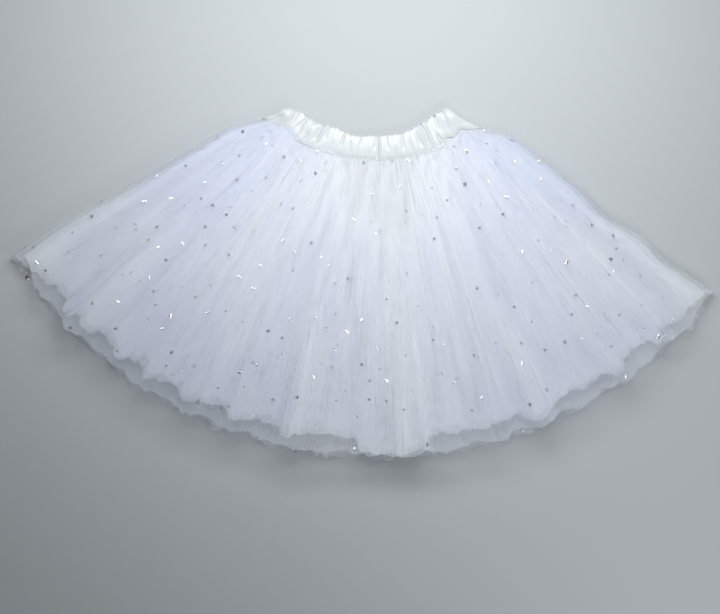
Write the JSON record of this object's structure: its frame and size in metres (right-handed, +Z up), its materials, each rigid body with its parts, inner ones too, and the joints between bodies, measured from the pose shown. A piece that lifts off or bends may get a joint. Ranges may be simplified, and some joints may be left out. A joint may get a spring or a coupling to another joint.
{
  "type": "ballet tutu laid flat",
  "caption": "Child's ballet tutu of layered white tulle with star sequins, gathered into a ruched satin waistband and laid flat as a fan.",
  "frame": {"origin": "middle of the underside's box, on the surface that the skirt lies on", "axes": "+X to the right along the hem, +Y from the hem to the waistband, +Z up out of the surface"},
  "size_m": [0.6446, 0.3261, 0.0465],
  "materials": {
    "satin": "satin",
    "star_tulle": "matte",
    "plain_tulle": "matte"
  },
  "bodies": {
    "root": {"waistband": "satin", "tulle_outer_front": "star_tulle", "tulle_outer_back": "star_tulle", "tulle_middle_front": "plain_tulle", "tulle_middle_back": "plain_tulle", "tulle_inner_front": "plain_tulle", "tulle_inner_back": "plain_tulle"}
  },
  "joints": []
}
